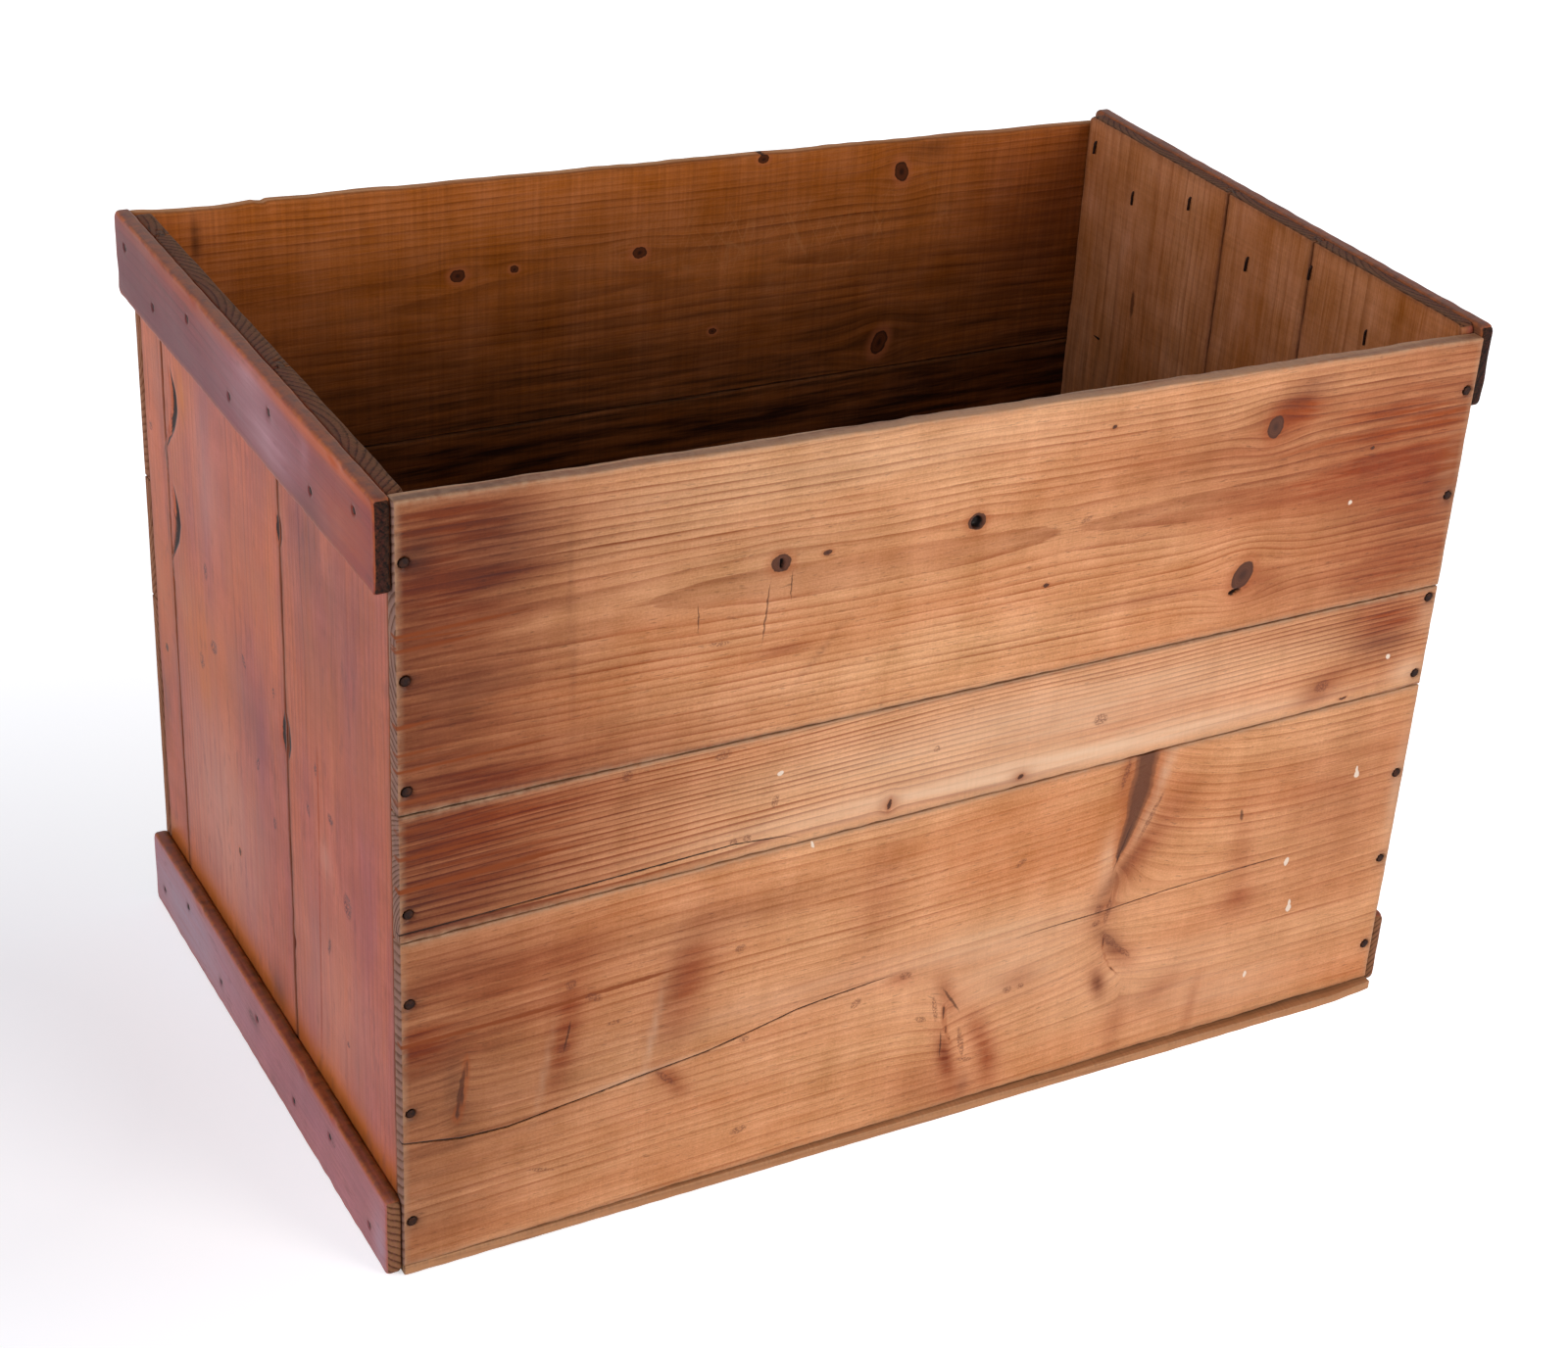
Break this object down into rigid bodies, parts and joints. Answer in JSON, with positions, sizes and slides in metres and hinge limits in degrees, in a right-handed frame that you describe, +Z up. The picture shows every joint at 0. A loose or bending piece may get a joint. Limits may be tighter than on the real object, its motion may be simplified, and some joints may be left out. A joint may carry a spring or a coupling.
{
  "type": "wooden toy box",
  "caption": "Open-topped rectangular toy box of nailed pine boards, with lengthwise sides, tongue-and-groove ends and nailed outside cleats.",
  "frame": {"origin": "middle of the underside that the box stands on, halfway between the outer faces of the ends and of the front and back", "axes": "+X along the box towards its lower end, -Y out of the front, +Z up"},
  "size_m": [0.678, 0.414, 0.468],
  "materials": {
    "pine_front": "varnished honey pine, satin",
    "pine_back": "bare aged pine inside, varnished outside",
    "stained_end": "red-brown stained pine, glossy outside",
    "stained_cleat": "dark red-brown stained pine, worn edges",
    "pine_floor": "bare aged pine",
    "nail_iron": "dark aged iron"
  },
  "bodies": {
    "root": {"front_top_board": "pine_front", "front_middle_board": "pine_front", "front_bottom_board": "pine_front", "back_top_board": "pine_back", "back_middle_board": "pine_back", "back_bottom_board": "pine_back", "left_end_front_board": "stained_end", "left_end_middle_board": "stained_end", "left_end_back_board": "stained_end", "right_end_front_board": "stained_end", "right_end_middle_board": "stained_end", "right_end_back_board": "stained_end", "left_top_cleat": "stained_cleat", "left_bottom_cleat": "stained_cleat", "right_top_cleat": "stained_cleat", "right_bottom_cleat": "stained_cleat", "floor_front_board": "pine_floor", "floor_middle_board": "pine_floor", "floor_back_board": "pine_floor", "front_left_nails": "nail_iron", "front_right_nails": "nail_iron", "back_left_nails": "nail_iron", "back_right_nails": "nail_iron", "left_top_cleat_nails": "nail_iron", "left_bottom_cleat_nails": "nail_iron", "right_top_cleat_nails": "nail_iron", "right_bottom_cleat_nails": "nail_iron", "floor_front_nails": "nail_iron", "floor_back_nails": "nail_iron", "floor_left_nails": "nail_iron", "floor_right_nails": "nail_iron"}
  },
  "joints": []
}
